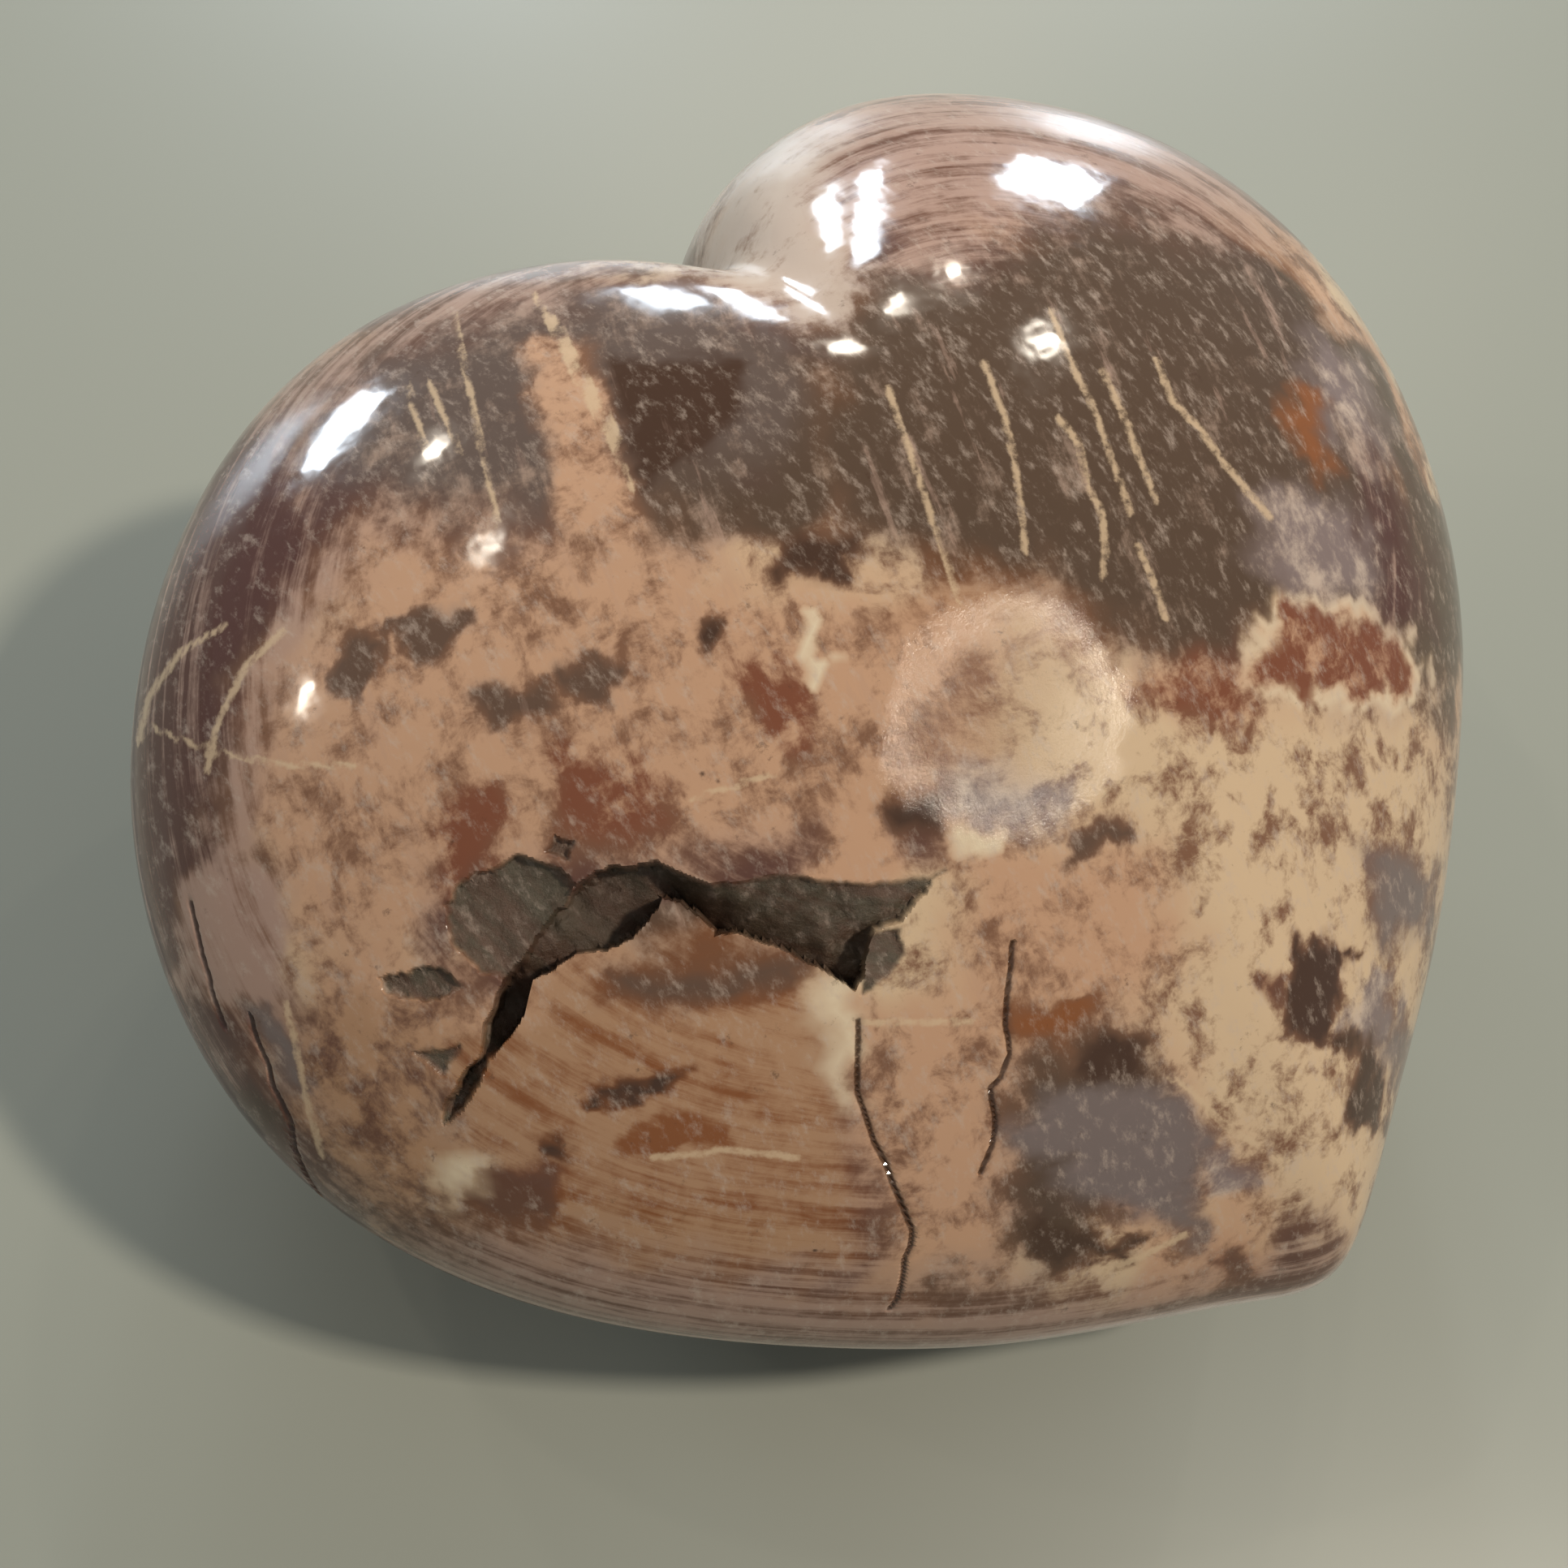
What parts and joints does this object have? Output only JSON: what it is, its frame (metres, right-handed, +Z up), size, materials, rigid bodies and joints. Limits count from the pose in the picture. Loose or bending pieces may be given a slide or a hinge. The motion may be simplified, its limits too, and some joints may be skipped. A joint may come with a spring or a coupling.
{
  "type": "polished moonstone heart with an open natural cavity",
  "caption": "Puffy heart carved and polished from brown and peach moonstone, with an open natural cavity in its upper face and a small flat to rest on.",
  "frame": {"origin": "middle of the stone's footprint box, on the surface that it rests on", "axes": "+Z up, out of the heart's upper face; +X to the right across the two lobes with the point towards -Y"},
  "size_m": [0.0901, 0.079, 0.0461],
  "materials": {
    "stone": "gloss"
  },
  "bodies": {
    "root": {"moonstone_heart": "stone"}
  },
  "joints": []
}
